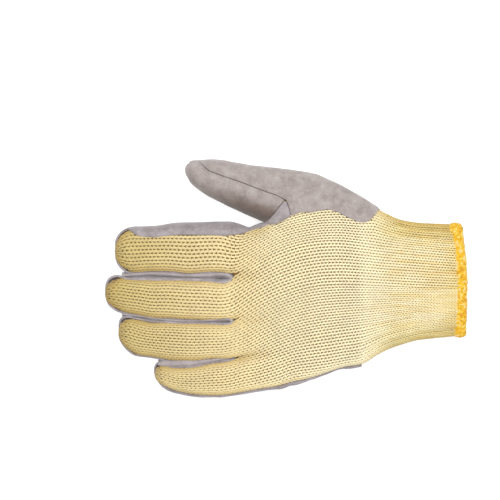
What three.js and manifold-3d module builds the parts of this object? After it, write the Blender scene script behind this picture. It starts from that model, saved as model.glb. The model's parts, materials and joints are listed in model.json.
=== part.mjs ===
// Left-hand work glove, lying palm down: a seamless knit glove with a leather palm sewn over it.
// Millimetres. +X runs from the fingertips to the cuff, +Y toward the thumb, +Z up; Z = 0 is the floor.
import * as THREE from "three";
import { mergeVertices } from "three/addons/utils/BufferGeometryUtils.js";
import Module from "manifold-3d";

const wasm = await Module();
wasm.setup();

// Walls and clearances
const KNIT_WALL = 2.0;
const LEATHER_WALL = 1.2;
const HEM_WALL = 1.2;
const SEAM_GAP = 0.3;

// Overall sizes, measured on the knit
const PALM_WIDTH = 112;
const PALM_HEIGHT = 27;
const HAND_LENGTH = 96;
const CUFF_LENGTH = 62.5;
const CUFF_WIDTH = 76;
const CUFF_HEIGHT = 19;
const FINGER_HEIGHT = 18;
const HEM_LENGTH = 7.5;

// Fingers from the index to the little one. reach is the fingertip's distance in front of the first
// crotch, gapAfter the space to the next finger's knit and crotchAfter where that space ends in X.
// Each row of path holds a share of the finger's length from the tip, the sideways shift as a share of
// the finger's width, and the width there as a share of it. tipLean turns the rounded tip toward the
// thumb, in degrees.
const FINGERS = [
  {
    name: "index", reach: 76.5, width: 30, gapAfter: 6.3, crotchAfter: 0, tipLean: 0,
    path: [
      { at: 0, shift: 0, width: 0.94 },
      { at: 1, shift: 0, width: 1 },
    ],
  },
  {
    name: "middle", reach: 83.5, width: 26, gapAfter: 3.7, crotchAfter: 2.7, tipLean: 10,
    path: [
      { at: 0, shift: 0.155, width: 0.93 },
      { at: 0.3, shift: 0.05, width: 1 },
      { at: 0.6, shift: 0, width: 1 },
      { at: 1, shift: -0.03, width: 1 },
    ],
  },
  {
    name: "ring", reach: 75.5, width: 24, gapAfter: 4.4, crotchAfter: 17, tipLean: 28,
    path: [
      { at: 0, shift: 0.14, width: 0.98 },
      { at: 0.25, shift: 0.07, width: 1 },
      { at: 0.6, shift: 0, width: 1 },
      { at: 0.85, shift: 0, width: 0.98 },
      { at: 1, shift: 0.08, width: 0.88 },
    ],
  },
  {
    name: "little", reach: 51.5, width: 21, gapAfter: 0, crotchAfter: 30, tipLean: 28,
    path: [
      { at: 0, shift: 0.08, width: 0.9 },
      { at: 0.25, shift: 0.03, width: 1 },
      { at: 0.5, shift: 0, width: 1 },
      { at: 0.8, shift: 0.15, width: 1.06 },
      { at: 1, shift: 0.29, width: 1.16 },
    ],
  },
];
// Where the row of fingers starts, as a share of the palm's width from the glove's axis.
const INDEX_EDGE_SHARE = 0.305;
const FINGER_DOME = 12;
const FINGER_OVERLAP = 2;
const CROTCH_ROUND = 3;
const ROOT_DEPTH = 26;
// How far the outer edges of the first and last fingers draw in under the hand at their roots.
const INDEX_TUCK = 4;
const LITTLE_TUCK = 14;

// Thumb: its axis runs from the tip back to the wrist edge.
const THUMB_TIP = { along: -29, across: 75 };
const THUMB_LENGTH = 141;
const THUMB_WIDTH = 28.5;
const THUMB_HEIGHT = 21;
const THUMB_ANGLE = THREE.MathUtils.degToRad(19.4);
const THUMB_DOME = 10;

// Leather edges
const FOURCHETTE_LOW = 5;
const FOURCHETTE_START = 0.05;
const CROTCH_DEPTH = 10;
const FINGER_SEAM_SHARE = 0.56;
const HAND_SEAM_SHARE = 0.5;
// Shares of the hand's length between which the leather's side edge climbs to its height on the hand.
const SEAM_RISE_FROM = 0.3;
const SEAM_RISE_TO = 0.7;
// The seam across the finger bases lies this far behind the crotches.
const BASE_SEAM_BACK = 4;

// How far the soft forms are pressed into the floor before they are flattened on it.
const SQUASH = 2.5;
const ROUNDNESS = 2.3;
const REST_LEVEL = LEATHER_WALL + SEAM_GAP;
// How far cutting shapes run past what they cut.
const CLEAR = 80;
// Bodies smaller than this, in cubic millimetres, are crumbs of a cut.
const SLIVER = 1;

const FINGER_SEGMENTS = 14;
const THUMB_SEGMENTS = 16;
const HAND_SEGMENTS = 26;
const DOME_ANGLES = [20, 42, 66];
const DOME_POWER = 0.75;
const FINGER_STATIONS = [0, 0.25, 0.5, 0.75, 1];
const GAP_STEPS = 8;

// Sections of the hand and cuff. along is a share of the hand's length up to 1 and one more share of the
// cuff's after it; lean moves the little-finger end of a section along X, as a share of the hand's length.
// The two edges are shares of the palm's width, or of the cuff's past the wrist edge.
const HAND_SECTIONS = [
  { along: 0.16, lean: 0.15, thumbEdge: 0.3, littleEdge: -0.61, height: 0.6 },
  { along: 0.28, lean: 0.18, thumbEdge: 0.335, littleEdge: -0.64, height: 0.79 },
  { along: 0.47, lean: 0.12, thumbEdge: 0.38, littleEdge: -0.62, height: 0.93 },
  { along: 0.62, lean: 0.08, thumbEdge: 0.425, littleEdge: -0.59, height: 1 },
  { along: 0.78, lean: 0.04, thumbEdge: 0.44, littleEdge: -0.555, height: 1 },
  { along: 0.92, lean: 0.02, thumbEdge: 0.43, littleEdge: -0.53, height: 0.94 },
];
const CUFF_SECTIONS = [
  { along: 1.06, thumbEdge: 0.59, littleEdge: -0.69, height: 1.18 },
  { along: 1.22, thumbEdge: 0.525, littleEdge: -0.625, height: 1.07 },
  { along: 1.5, thumbEdge: 0.485, littleEdge: -0.555, height: 1.02 },
  { along: 1.8, thumbEdge: 0.475, littleEdge: -0.53, height: 1 },
  { along: 2, thumbEdge: 0.465, littleEdge: -0.515, height: 0.98 },
];

// Sections of the thumb: share of its length from the tip, sideways shift and half width as shares of
// half its width, height as a share of its height.
const THUMB_SECTIONS = [
  { along: 0.07, side: 0, half: 0.66, height: 0.86 },
  { along: 0.15, side: -0.04, half: 0.82, height: 0.95 },
  { along: 0.27, side: -0.02, half: 0.98, height: 1 },
  { along: 0.385, side: 0.07, half: 1.16, height: 1.05 },
  { along: 0.485, side: 0.13, half: 1.33, height: 1.12 },
  { along: 0.605, side: 0.16, half: 1.5, height: 1.14 },
  { along: 0.735, side: 0.1, half: 1.45, height: 1.1 },
  { along: 0.85, side: 0.08, half: 1.28, height: 1.0 },
  { along: 0.93, side: 0.03, half: 1.12, height: 0.9 },
  { along: 1.02, side: -0.2, half: 0.7, height: 0.8 },
];

// Leather outlines seen from above, as rows of shares. On a finger or the thumb: share of its length
// from the tip, and offset from its centre line in half widths. On the hand: share of its length from the
// first crotch, and offset from the glove's axis as a share of the palm's width.
const INDEX_KNIT_LINE = [
  { at: -0.3, side: 1.25 },
  { at: -0.06, side: 0.95 },
  { at: 0.06, side: 0.66 },
  { at: 0.25, side: 0.6 },
  { at: 1, side: 0.6 },
];
const HAND_KNIT_LINE = [
  { at: 0.15, side: 0.258 },
  { at: 0.36, side: 0.33 },
  { at: 0.5, side: 0.392 },
  { at: 0.59, side: 0.379 },
  { at: 0.7, side: 0.413 },
  { at: 0.82, side: 0.367 },
  { at: 0.94, side: 0.325 },
];
const WRIST_LINE = [
  { at: 1.13, side: 0.5 },
  { at: 1.07, side: 0.422 },
  { at: 1.0, side: 0.34 },
  { at: 0.97, side: 0 },
  { at: 0.95, side: -0.5 },
  { at: 0.92, side: -0.75 },
];
const THUMB_SEAM_LINE = [
  { at: -0.12, side: 0.1 },
  { at: 0.0, side: 0.13 },
  { at: 0.06, side: 0.36 },
  { at: 0.117, side: 0.15 },
  { at: 0.28, side: 0.2 },
  { at: 0.5, side: 0.15 },
  { at: 0.546, side: -0.165 },
  { at: 0.58, side: -0.42 },
];
const THUMB_INNER_LINE = [
  { at: 0.515, side: -0.73 },
  { at: 0.458, side: -1.28 },
  { at: 0.27, side: -1.25 },
  { at: -0.12, side: -1.25 },
];
// The line on the hand where the knit thumb leaves it. Each knit finger leaves it a little in front of
// its crotches.
const THUMB_CUT_LINE = [
  { at: -2, side: 0.337 },
  { at: 0.255, side: 0.337 },
  { at: 1.04, side: 0.417 },
];
const FINGER_CUT_FRONT = 2;

const lerp = THREE.MathUtils.lerp;
// The three spaces between neighbouring fingers, each named by the finger on its thumb side.
const gaps = [0, 1, 2];
const littleFinger = FINGERS.length - 1;
const signedPower = (value, power) => Math.sign(value) * Math.abs(value) ** power;

/** The shift and width of a finger's path at a share of its length. */
function readPath(path, at) {
  const next = Math.max(1, path.findIndex((row) => row.at >= at));
  const [from, to] = [path[next - 1], path[next]];
  const share = (at - from.at) / (to.at - from.at);
  return { shift: lerp(from.shift, to.shift, share), width: lerp(from.width, to.width, share) };
}

/** One closed section: a rounded oval across the line between two edges, flattened on the floor. */
function sectionRing({ centre, across, half, middle, rise }, segments, grow) {
  const floor = REST_LEVEL - grow;
  const ring = [];
  for (let i = 0; i < segments; i += 1) {
    const angle = (2 * Math.PI * (i + 0.5)) / segments;
    const out = half * signedPower(Math.cos(angle), 2 / ROUNDNESS);
    const up = middle + rise * signedPower(Math.sin(angle), 2 / ROUNDNESS);
    ring.push(new THREE.Vector3(centre.x + across.x * out, centre.y + across.y * out, Math.max(up, floor)));
  }
  return ring;
}

/** A section between a thumb-side and a little-finger-side edge, grown outward by grow. */
function edgeSection(thumbEdge, littleEdge, top, grow) {
  const centre = thumbEdge.clone().add(littleEdge).multiplyScalar(0.5);
  const across = thumbEdge.clone().sub(littleEdge).normalize();
  const bottom = REST_LEVEL - SQUASH;
  return {
    centre,
    across,
    half: thumbEdge.distanceTo(littleEdge) / 2 + grow,
    middle: (top + bottom) / 2,
    rise: (top - bottom) / 2 + grow,
  };
}

/** Sections that round off a digit's tip in front of its first full section. */
function tipSections(first, toTip, dome, grow) {
  return DOME_ANGLES.map((degrees) => {
    const angle = THREE.MathUtils.degToRad(degrees);
    const share = Math.sin(angle) ** DOME_POWER;
    return {
      ...first,
      centre: first.centre.clone().addScaledVector(toTip, (dome + grow) * Math.cos(angle)),
      half: first.half * share,
      rise: first.rise * share,
    };
  });
}

/** A section moved on by grow, away from its neighbour. */
function movedOn(section, neighbour, grow) {
  const away = section.centre.clone().sub(neighbour.centre).normalize();
  return { ...section, centre: section.centre.clone().addScaledVector(away, grow) };
}

/** The closed solid skinned over a row of sections, with a flat fan at each end. */
function loft(sections, segments, grow) {
  const rings = sections.map((section) => sectionRing(section, segments, grow));
  const centreOf = (ring) => ring.reduce((sum, p) => sum.add(p), new THREE.Vector3()).divideScalar(segments);
  const points = rings.flat();
  const startIndex = points.push(centreOf(rings[0])) - 1;
  const endIndex = points.push(centreOf(rings.at(-1))) - 1;
  const triangles = [];
  const lastRing = (rings.length - 1) * segments;
  for (let i = 0; i < segments; i += 1) {
    const next = (i + 1) % segments;
    triangles.push(startIndex, next, i);
    triangles.push(endIndex, lastRing + i, lastRing + next);
    for (let base = 0; base < lastRing; base += segments) {
      const [a, b, c, d] = [base + i, base + next, base + segments + i, base + segments + next];
      triangles.push(a, b, c, b, d, c);
    }
  }
  const geometry = new THREE.BufferGeometry().setFromPoints(points);
  geometry.setIndex(triangles);
  return solidOf(geometry);
}

/** A closed three.js geometry as a solid that can be joined and cut. */
function solidOf(geometry) {
  geometry.deleteAttribute("normal");
  geometry.deleteAttribute("uv");
  const merged = mergeVertices(geometry, 1e-5);
  const mesh = new wasm.Mesh({
    numProp: 3,
    vertProperties: new Float32Array(merged.attributes.position.array),
    triVerts: new Uint32Array(merged.index.array),
  });
  return new wasm.Manifold(mesh);
}

/** An upright prism over a plan outline. */
function prism(outline, low, high) {
  const shape = new THREE.Shape(outline);
  const geometry = new THREE.ExtrudeGeometry(shape, { depth: high - low, bevelEnabled: false });
  geometry.translate(0, 0, low);
  return solidOf(geometry);
}

const joined = (solids) => solids.reduce((whole, solid) => whole.add(solid));
const vec = (x, y) => new THREE.Vector2(x, y);

/** Adds each finger's centre line and the crotch on its thumb side to the table of fingers. */
function placeFingers() {
  let edge = INDEX_EDGE_SHARE * PALM_WIDTH;
  let thumbCrotch = 0;
  return FINGERS.map((finger) => {
    const placed = { ...finger, centre: edge - finger.width / 2, thumbCrotch };
    edge -= finger.width + finger.gapAfter;
    thumbCrotch = finger.crotchAfter;
    return placed;
  });
}
const fingers = placeFingers();

/** A finger's two edges at a share of the way from its rounded tip to its crotches. */
function fingerEdges(finger, share) {
  const front = -finger.reach + FINGER_DOME;
  const { shift, width } = readPath(finger.path, share);
  const middle = finger.centre + shift * finger.width;
  const half = (finger.width * width) / 2;
  return {
    thumb: vec(lerp(front, finger.thumbCrotch, share), middle + half),
    little: vec(lerp(front, finger.crotchAfter, share), middle - half),
  };
}

/** A plan point on a finger, side half widths away from its centre line. */
function onFinger(finger, share, side) {
  const { thumb, little } = fingerEdges(finger, share);
  return little.clone().lerp(thumb, (side + 1) / 2);
}

/** The plan point half way between a finger's edge and the next finger's at their crotch. */
function crotchPoint(index) {
  const { little } = fingerEdges(fingers[index], 1);
  const { thumb } = fingerEdges(fingers[index + 1], 1);
  return little.lerp(thumb, 0.5);
}

/** A finger with its root buried in the hand; past the crotches neighbours run into each other. */
function fingerForm(finger, grow) {
  const index = fingers.indexOf(finger);
  const sections = FINGER_STATIONS.map((share) => {
    const { thumb, little } = fingerEdges(finger, share);
    return edgeSection(thumb, little, FINGER_HEIGHT, grow);
  });
  const { thumb, little } = fingerEdges(finger, 1);
  const root = (depth, indexTuck, littleTuck) => edgeSection(
    vec(thumb.x + depth, index > 0 ? crotchPoint(index - 1).y + FINGER_OVERLAP : thumb.y - indexTuck),
    vec(little.x + depth, index < littleFinger ? crotchPoint(index).y - FINGER_OVERLAP : little.y + littleTuck),
    FINGER_HEIGHT,
    grow,
  );
  const lean = THREE.MathUtils.degToRad(finger.tipLean);
  const toTip = vec(-Math.cos(lean), Math.sin(lean));
  const tip = tipSections(sections[0], toTip, FINGER_DOME, grow);
  const neck = root(CROTCH_ROUND, 0, 0);
  const buried = movedOn(root(ROOT_DEPTH, INDEX_TUCK, LITTLE_TUCK), neck, grow);
  return loft([...tip, ...sections, neck, buried], FINGER_SEGMENTS, grow);
}

const handX = (along) => Math.min(along, 1) * HAND_LENGTH + Math.max(along - 1, 0) * CUFF_LENGTH;

/** The hand and cuff; endShift carries the cuff's last section on past its end. */
function handForm(grow, endShift = 0) {
  const hand = HAND_SECTIONS.map((row) => edgeSection(
    vec(handX(row.along), row.thumbEdge * PALM_WIDTH),
    vec(handX(row.along) + row.lean * HAND_LENGTH, row.littleEdge * PALM_WIDTH),
    row.height * PALM_HEIGHT,
    grow,
  ));
  const cuff = CUFF_SECTIONS.map((row) => edgeSection(
    vec(handX(row.along), row.thumbEdge * CUFF_WIDTH),
    vec(handX(row.along), row.littleEdge * CUFF_WIDTH),
    row.height * CUFF_HEIGHT,
    grow,
  ));
  const front = movedOn(hand[0], hand[1], grow);
  const end = movedOn(cuff.at(-1), cuff.at(-2), grow + endShift);
  const whole = endShift > 0 ? [...cuff, end] : [...cuff.slice(0, -1), end];
  return loft([front, ...hand.slice(1), ...whole], HAND_SEGMENTS, grow);
}

const thumbAxis = vec(Math.cos(THUMB_ANGLE), -Math.sin(THUMB_ANGLE));
const thumbAcross = vec(Math.sin(THUMB_ANGLE), Math.cos(THUMB_ANGLE));

/** A plan point on the thumb: share along its axis, offset across it in shares of its half width. */
function onThumb(along, side) {
  return vec(THUMB_TIP.along, THUMB_TIP.across)
    .addScaledVector(thumbAxis, along * THUMB_LENGTH)
    .addScaledVector(thumbAcross, (side * THUMB_WIDTH) / 2);
}

function thumbForm(grow) {
  const sections = THUMB_SECTIONS.map((row) => edgeSection(
    onThumb(row.along, row.side + row.half),
    onThumb(row.along, row.side - row.half),
    row.height * THUMB_HEIGHT,
    grow,
  ));
  const tip = tipSections(sections[0], thumbAxis.clone().negate(), THUMB_DOME, grow);
  const buried = movedOn(sections.at(-1), sections.at(-2), grow);
  return loft([...tip, ...sections.slice(0, -1), buried], THUMB_SEGMENTS, grow);
}

/** The whole glove's form, grown outward by grow; endShift lengthens it past the cuff's end. */
function gloveForm(grow, endShift = 0) {
  const pieces = [handForm(grow, endShift), thumbForm(grow), ...fingers.map((f) => fingerForm(f, grow))];
  return joined(pieces);
}

/** The plan point on the hand of one row of an outline. */
const onHand = ({ at, side }) => vec(at * HAND_LENGTH, side * PALM_WIDTH);
const onLine = (rows) => rows.map(onHand);

/** A wall of the seam gap's width standing on a line of plan points. */
function seamBlade(points) {
  const half = SEAM_GAP / 2;
  const normals = points.map((point, i) => {
    const before = points[Math.max(i - 1, 0)];
    const after = points[Math.min(i + 1, points.length - 1)];
    const along = after.clone().sub(before).normalize();
    return vec(-along.y, along.x);
  });
  const left = points.map((point, i) => point.clone().addScaledVector(normals[i], half));
  const right = points.map((point, i) => point.clone().addScaledVector(normals[i], -half));
  return prism([...left, ...right.reverse()], -CLEAR, CLEAR);
}

/** Everything under the leather's side edge, whose height changes along the glove. */
function undersideSlab() {
  const fingerSeam = FINGER_SEAM_SHARE * FINGER_HEIGHT;
  const handSeam = HAND_SEAM_SHARE * PALM_HEIGHT;
  const wristSeam = HAND_SEAM_SHARE * CUFF_HEIGHT;
  const profile = [
    vec(-2 * CLEAR, -CLEAR),
    vec(HAND_LENGTH + CLEAR, -CLEAR),
    vec(HAND_LENGTH + CLEAR, wristSeam),
    vec(HAND_LENGTH, wristSeam),
    vec(HAND_LENGTH * SEAM_RISE_TO, handSeam),
    vec(HAND_LENGTH * SEAM_RISE_FROM, fingerSeam),
    vec(-2 * CLEAR, fingerSeam),
  ];
  const depth = 4 * CLEAR;
  const geometry = new THREE.ExtrudeGeometry(new THREE.Shape(profile), { depth, bevelEnabled: false });
  geometry.rotateX(Math.PI / 2);
  geometry.translate(0, depth / 2, 0);
  return solidOf(geometry);
}

// Plan lines of the seams
const thumbSeam = THUMB_SEAM_LINE.map((row) => onThumb(row.at, row.side));
const thumbInner = THUMB_INNER_LINE.map((row) => onThumb(row.at, row.side));
const indexKnitLine = INDEX_KNIT_LINE.map((row) => onFinger(fingers[0], row.at, row.side));
const handKnitLine = onLine(HAND_KNIT_LINE);
const wristLine = onLine(WRIST_LINE);
const wingLine = handKnitLine.slice(2);
const farAbove = PALM_WIDTH;
const beyondTips = -HAND_LENGTH - CLEAR;

const topOutline = [
  ...indexKnitLine, ...handKnitLine, wristLine[2], wristLine[1], wristLine[0],
  vec(wristLine[0].x, farAbove), vec(beyondTips, farAbove),
];
const wristOutline = [
  ...wristLine, vec(wristLine.at(-1).x, -farAbove), vec(beyondTips, -farAbove),
  vec(beyondTips, farAbove), vec(wristLine[0].x, farAbove),
];
const outerOutline = [
  ...thumbSeam, ...wingLine, wristLine[2], wristLine[1], wristLine[0],
  vec(wristLine[0].x, farAbove), vec(thumbSeam[0].x, farAbove),
];
const innerOutline = [...thumbSeam, ...thumbInner];
const outerSeam = [...thumbSeam, ...wingLine, wristLine[2], wristLine[1]];
const innerSeam = [thumbSeam.at(-1), ...thumbInner];

// The seam across the finger bases on the palm side, from the first crotch to the little finger's side.
const baseSeam = [
  ...gaps.map((i) => crotchPoint(i).add(vec(BASE_SEAM_BACK, 0))),
  onFinger(fingers[littleFinger], 1, -1).add(vec(BASE_SEAM_BACK, 0)),
  onFinger(fingers[littleFinger], 1, -1).add(vec(BASE_SEAM_BACK * 2, -CLEAR / 2)),
];

/** How far along Y a finger's edge lies at a place along X; undefined in front of its full width. */
function edgeAt(finger, edge, x) {
  const [start, end] = [fingerEdges(finger, 0)[edge].x, fingerEdges(finger, 1)[edge].x];
  const share = (x - start) / (end - start);
  return share < 0 ? undefined : fingerEdges(finger, Math.min(share, 1))[edge].y;
}

/** The plan line through the space between a finger and the next, from the crotch to past the tips. */
function gapLine(index) {
  const [first, second] = [fingers[index], fingers[index + 1]];
  const crotch = crotchPoint(index);
  const tips = -Math.max(first.reach, second.reach) + FINGER_DOME;
  const line = [crotch];
  for (let step = 1; step <= GAP_STEPS; step += 1) {
    const x = lerp(crotch.x, tips, step / GAP_STEPS);
    const above = edgeAt(first, "little", x);
    const below = edgeAt(second, "thumb", x);
    const fromAbove = (above ?? below + first.gapAfter) + (below ?? above - first.gapAfter);
    line.push(vec(x, fromAbove / 2));
  }
  return [...line, vec(beyondTips, line.at(-1).y)];
}

/** The plan outline of a finger's front panel, from the seam across its base to past its tip. */
function fingerOutline(index) {
  const thumbSide = gapLine(index - 1);
  const littleSide = index < littleFinger
    ? gapLine(index)
    : [vec(thumbSide[0].x, -farAbove), vec(thumbSide.at(-1).x, -farAbove)];
  const base = baseSeam.slice(index - 1, index < littleFinger ? index + 1 : undefined);
  return [...thumbSide.reverse(), ...base, ...littleSide];
}

/** The upright block that holds the leather strip between two fingers. */
function fourchetteBlock(index, grow) {
  const [first, second] = [fingers[index], fingers[index + 1]];
  const outline = [
    onFinger(first, FOURCHETTE_START, 0).add(vec(-grow, 0)),
    onFinger(first, 1, 0).add(vec(CROTCH_DEPTH + grow, 0)),
    onFinger(second, 1, 0).add(vec(CROTCH_DEPTH + grow, 0)),
    onFinger(second, FOURCHETTE_START, 0).add(vec(-grow, 0)),
  ];
  return prism(outline, FOURCHETTE_LOW - grow, CLEAR);
}

/** The solid without the slivers that its cuts leave along a seam. */
function withoutSlivers(solid) {
  return joined(solid.decompose().filter((body) => body.volume() > SLIVER));
}

/** The solid as a named mesh of one material. */
function meshOf(name, solid, material) {
  const { vertProperties, triVerts } = solid.getMesh();
  const geometry = new THREE.BufferGeometry();
  geometry.setAttribute("position", new THREE.BufferAttribute(new Float32Array(vertProperties), 3));
  geometry.setIndex(new THREE.BufferAttribute(new Uint32Array(triVerts), 1));
  geometry.computeVertexNormals();
  const mesh = new THREE.Mesh(geometry, material);
  mesh.name = name;
  return mesh;
}

/** The upright block round a knit finger, cut off square in front of its crotches. */
function knitFingerBlock(index, grow) {
  const thumbSide = index > 0 ? gapLine(index - 1) : onLine(THUMB_CUT_LINE.slice(0, 2));
  const littleSide = index < littleFinger ? gapLine(index) : [vec(0, -farAbove), vec(beyondTips, -farAbove)];
  const { thumbCrotch, crotchAfter } = fingers[index];
  const cut = Math.min(thumbCrotch, crotchAfter) - FINGER_CUT_FRONT + grow;
  const inFront = (points) => [vec(cut, points[0].y), ...points.filter(({ x }) => x < cut)];
  return prism([...inFront(thumbSide).reverse(), ...inFront(littleSide)], -CLEAR, CLEAR);
}

/** The upright block round the knit thumb and the heel of the hand beside it. */
function knitThumbBlock(grow) {
  const line = onLine(THUMB_CUT_LINE).map((point) => point.add(vec(grow, -grow)));
  return prism([...line, vec(line.at(-1).x, farAbove), vec(line[0].x, farAbove)], -CLEAR, CLEAR);
}

const knit = gloveForm(0).subtract(gloveForm(-KNIT_WALL, CLEAR));
const knitThumb = knit.intersect(knitThumbBlock(0));
const knitBesideThumb = knit.subtract(knitThumbBlock(SEAM_GAP));
const knitFingers = fingers.map((finger, i) => knitBesideThumb.intersect(knitFingerBlock(i, 0)));
const knitHand = knitBesideThumb.subtract(joined(fingers.map((finger, i) => knitFingerBlock(i, SEAM_GAP))));

const cuffEnd = handX(2);
const hemBlock = prism(
  [
    vec(cuffEnd - HEM_LENGTH, -farAbove), vec(cuffEnd + CLEAR / 2, -farAbove),
    vec(cuffEnd + CLEAR / 2, farAbove), vec(cuffEnd - HEM_LENGTH, farAbove),
  ],
  -CLEAR,
  CLEAR,
);
const cuffHem = handForm(SEAM_GAP + HEM_WALL)
  .subtract(handForm(SEAM_GAP))
  .subtract(handForm(-KNIT_WALL, CLEAR))
  .intersect(hemBlock);

const seamBlades = joined([outerSeam, innerSeam, baseSeam].map(seamBlade));
const gapBlades = joined(gaps.map((i) => seamBlade([baseSeam[i], ...gapLine(i)])));
const slab = undersideSlab();
const leather = gloveForm(SEAM_GAP + LEATHER_WALL)
  .subtract(gloveForm(SEAM_GAP))
  .intersect(prism(wristOutline, -CLEAR, CLEAR))
  .intersect(slab.add(prism(topOutline, -CLEAR, CLEAR)))
  .subtract(seamBlades);

const outerPrism = prism(outerOutline, -CLEAR, CLEAR);
const innerPrism = prism(innerOutline, -CLEAR, CLEAR);
const thumbOuterPanel = leather.intersect(outerPrism);
const thumbInnerPanel = leather.intersect(innerPrism);
const fourchettes = gaps.map((i) => leather.intersect(fourchetteBlock(i, 0)));
const aroundFourchettes = joined(gaps.map((i) => fourchetteBlock(i, SEAM_GAP)));
const panels = leather.subtract(joined([outerPrism, innerPrism, aroundFourchettes, gapBlades]));
const fingerPrisms = gaps.map((i) => prism(fingerOutline(i + 1), -CLEAR, CLEAR));
const fingerPanels = fingerPrisms.map((block) => panels.intersect(block));
const palmPanel = panels.subtract(joined(fingerPrisms));

const knitYarn = new THREE.MeshStandardMaterial({ color: 0xe6d7a0, roughness: 0.95 });
const hemYarn = new THREE.MeshStandardMaterial({ color: 0xeab93c, roughness: 0.9 });
const palmLeather = new THREE.MeshStandardMaterial({ color: 0xbdb3ba, roughness: 0.9 });
const thumbLeather = new THREE.MeshStandardMaterial({ color: 0xbbb1ae, roughness: 0.9 });

const pieces = [
  { name: "knit_hand", solid: knitHand, material: knitYarn },
  { name: "knit_index", solid: knitFingers[0], material: knitYarn },
  { name: "knit_middle", solid: knitFingers[1], material: knitYarn },
  { name: "knit_ring", solid: knitFingers[2], material: knitYarn },
  { name: "knit_little", solid: knitFingers[3], material: knitYarn },
  { name: "knit_thumb", solid: knitThumb, material: knitYarn },
  { name: "cuff_hem", solid: cuffHem, material: hemYarn },
  { name: "palm_panel", solid: palmPanel, material: palmLeather },
  { name: "middle_finger_panel", solid: fingerPanels[0], material: palmLeather },
  { name: "ring_finger_panel", solid: fingerPanels[1], material: palmLeather },
  { name: "little_finger_panel", solid: fingerPanels[2], material: palmLeather },
  { name: "index_middle_fourchette", solid: fourchettes[0], material: palmLeather },
  { name: "middle_ring_fourchette", solid: fourchettes[1], material: palmLeather },
  { name: "ring_little_fourchette", solid: fourchettes[2], material: palmLeather },
  { name: "thumb_outer_panel", solid: thumbOuterPanel, material: thumbLeather },
  { name: "thumb_inner_panel", solid: thumbInnerPanel, material: thumbLeather },
];

const glove = new THREE.Group();
for (const { name, solid, material } of pieces) {
  glove.add(meshOf(name, withoutSlivers(solid), material));
}

// The origin lies on the floor under the middle of the glove.
const extent = new THREE.Box3().setFromObject(glove);
const middle = extent.getCenter(new THREE.Vector3());
glove.position.set(-middle.x, -middle.y, -extent.min.z);

export default glove;
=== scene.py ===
"""Looks of a left-hand knit work glove with a leather palm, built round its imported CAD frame.

The glove lies palm down on a pale floor: +X from the fingertips to the cuff, +Y toward the thumb.
Lengths are in metres. Outlines are read off the photograph in its pixels, and plan() turns them
into metres.
"""

import json
import math

import bmesh
import bpy
import numpy as np
from mathutils import Matrix, Vector, noise
from mathutils.bvhtree import BVHTree
from mathutils.kdtree import KDTree

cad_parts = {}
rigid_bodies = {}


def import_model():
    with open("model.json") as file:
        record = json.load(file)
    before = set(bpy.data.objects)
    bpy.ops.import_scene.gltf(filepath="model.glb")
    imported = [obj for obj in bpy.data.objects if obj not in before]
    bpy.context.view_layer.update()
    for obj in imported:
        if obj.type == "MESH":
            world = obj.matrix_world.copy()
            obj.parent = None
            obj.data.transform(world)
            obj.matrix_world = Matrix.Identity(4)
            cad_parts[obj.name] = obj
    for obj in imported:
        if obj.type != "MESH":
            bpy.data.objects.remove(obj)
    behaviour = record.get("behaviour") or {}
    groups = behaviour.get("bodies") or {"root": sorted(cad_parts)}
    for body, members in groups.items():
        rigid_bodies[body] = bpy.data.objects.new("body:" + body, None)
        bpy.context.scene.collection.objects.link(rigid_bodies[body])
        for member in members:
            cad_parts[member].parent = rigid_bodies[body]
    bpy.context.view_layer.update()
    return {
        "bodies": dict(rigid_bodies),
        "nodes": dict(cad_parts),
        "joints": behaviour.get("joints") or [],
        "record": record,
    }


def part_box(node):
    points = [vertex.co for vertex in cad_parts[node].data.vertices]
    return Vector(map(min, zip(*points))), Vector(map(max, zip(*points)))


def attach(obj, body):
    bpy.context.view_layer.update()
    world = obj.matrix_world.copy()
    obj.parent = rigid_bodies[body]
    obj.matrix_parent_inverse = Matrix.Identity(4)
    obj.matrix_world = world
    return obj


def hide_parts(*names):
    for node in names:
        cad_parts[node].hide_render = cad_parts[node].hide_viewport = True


MM = 0.001
BODY = "root"

# The photograph: metres in one of its pixels, and the pixel over the frame's origin.
PIXEL = 0.68 * MM
ORIGIN_PX = (284.9, 277.3)
PHOTO_CENTRE_PX = (250.0, 250.0)
PHOTO_SIZE_PX = 500

# Camera, lights and floor
LENS_MM = 180.0
SENSOR_MM = 36.0
FOCUS_HEIGHT = 10 * MM
FAR_CLIP = 20
# Each light: its name, the way to it, its diameter in metres and its watts.
LIGHTS = [
    ("key", (0.14, 0.16, 1.0), 1.1, 16.5),
    ("fill", (-0.6, -0.2, 1.0), 1.5, 3.0),
]
LIGHT_DISTANCE = 1.3
SKY_STRENGTH = 0.42
FLOOR_HALF = 2
FLOOR_GREY = 0.5
FLOOR_GLOW = 0.68

# The skin is the smooth outer surface of the knit, from which everything else is laid out.
KNIT_NODES = ("knit_hand", "knit_index", "knit_middle", "knit_ring", "knit_little", "knit_thumb")
LEATHER_NODES = (
    "palm_panel", "middle_finger_panel", "ring_finger_panel", "little_finger_panel",
    "thumb_outer_panel", "thumb_inner_panel",
)
FINGER_PANELS = LEATHER_NODES[1:4]
SKIN_VOXEL = 1.25 * MM
SKIN_SMOOTHING = 40
SMOOTHING_RETURN = 1.06
MOUTH_RIM = 0.05 * MM
MOUTH_PLUG = 3 * MM
MOUTH_TRIM = 1.6 * MM
# A cut through a side of a triangle keeps this share of the side clear of both its ends.
CUT_MARGIN = 0.08

# Yarn: its radius in a stitch of the usual area, in square millimetres, and how far it follows others.
YARN_RADIUS = 0.61 * MM
YARN_AT_AREA = 2.6 * 3.6
YARN_AREA_RANGE = (0.5, 1.4)
YARN_SIDES = 6
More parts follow.
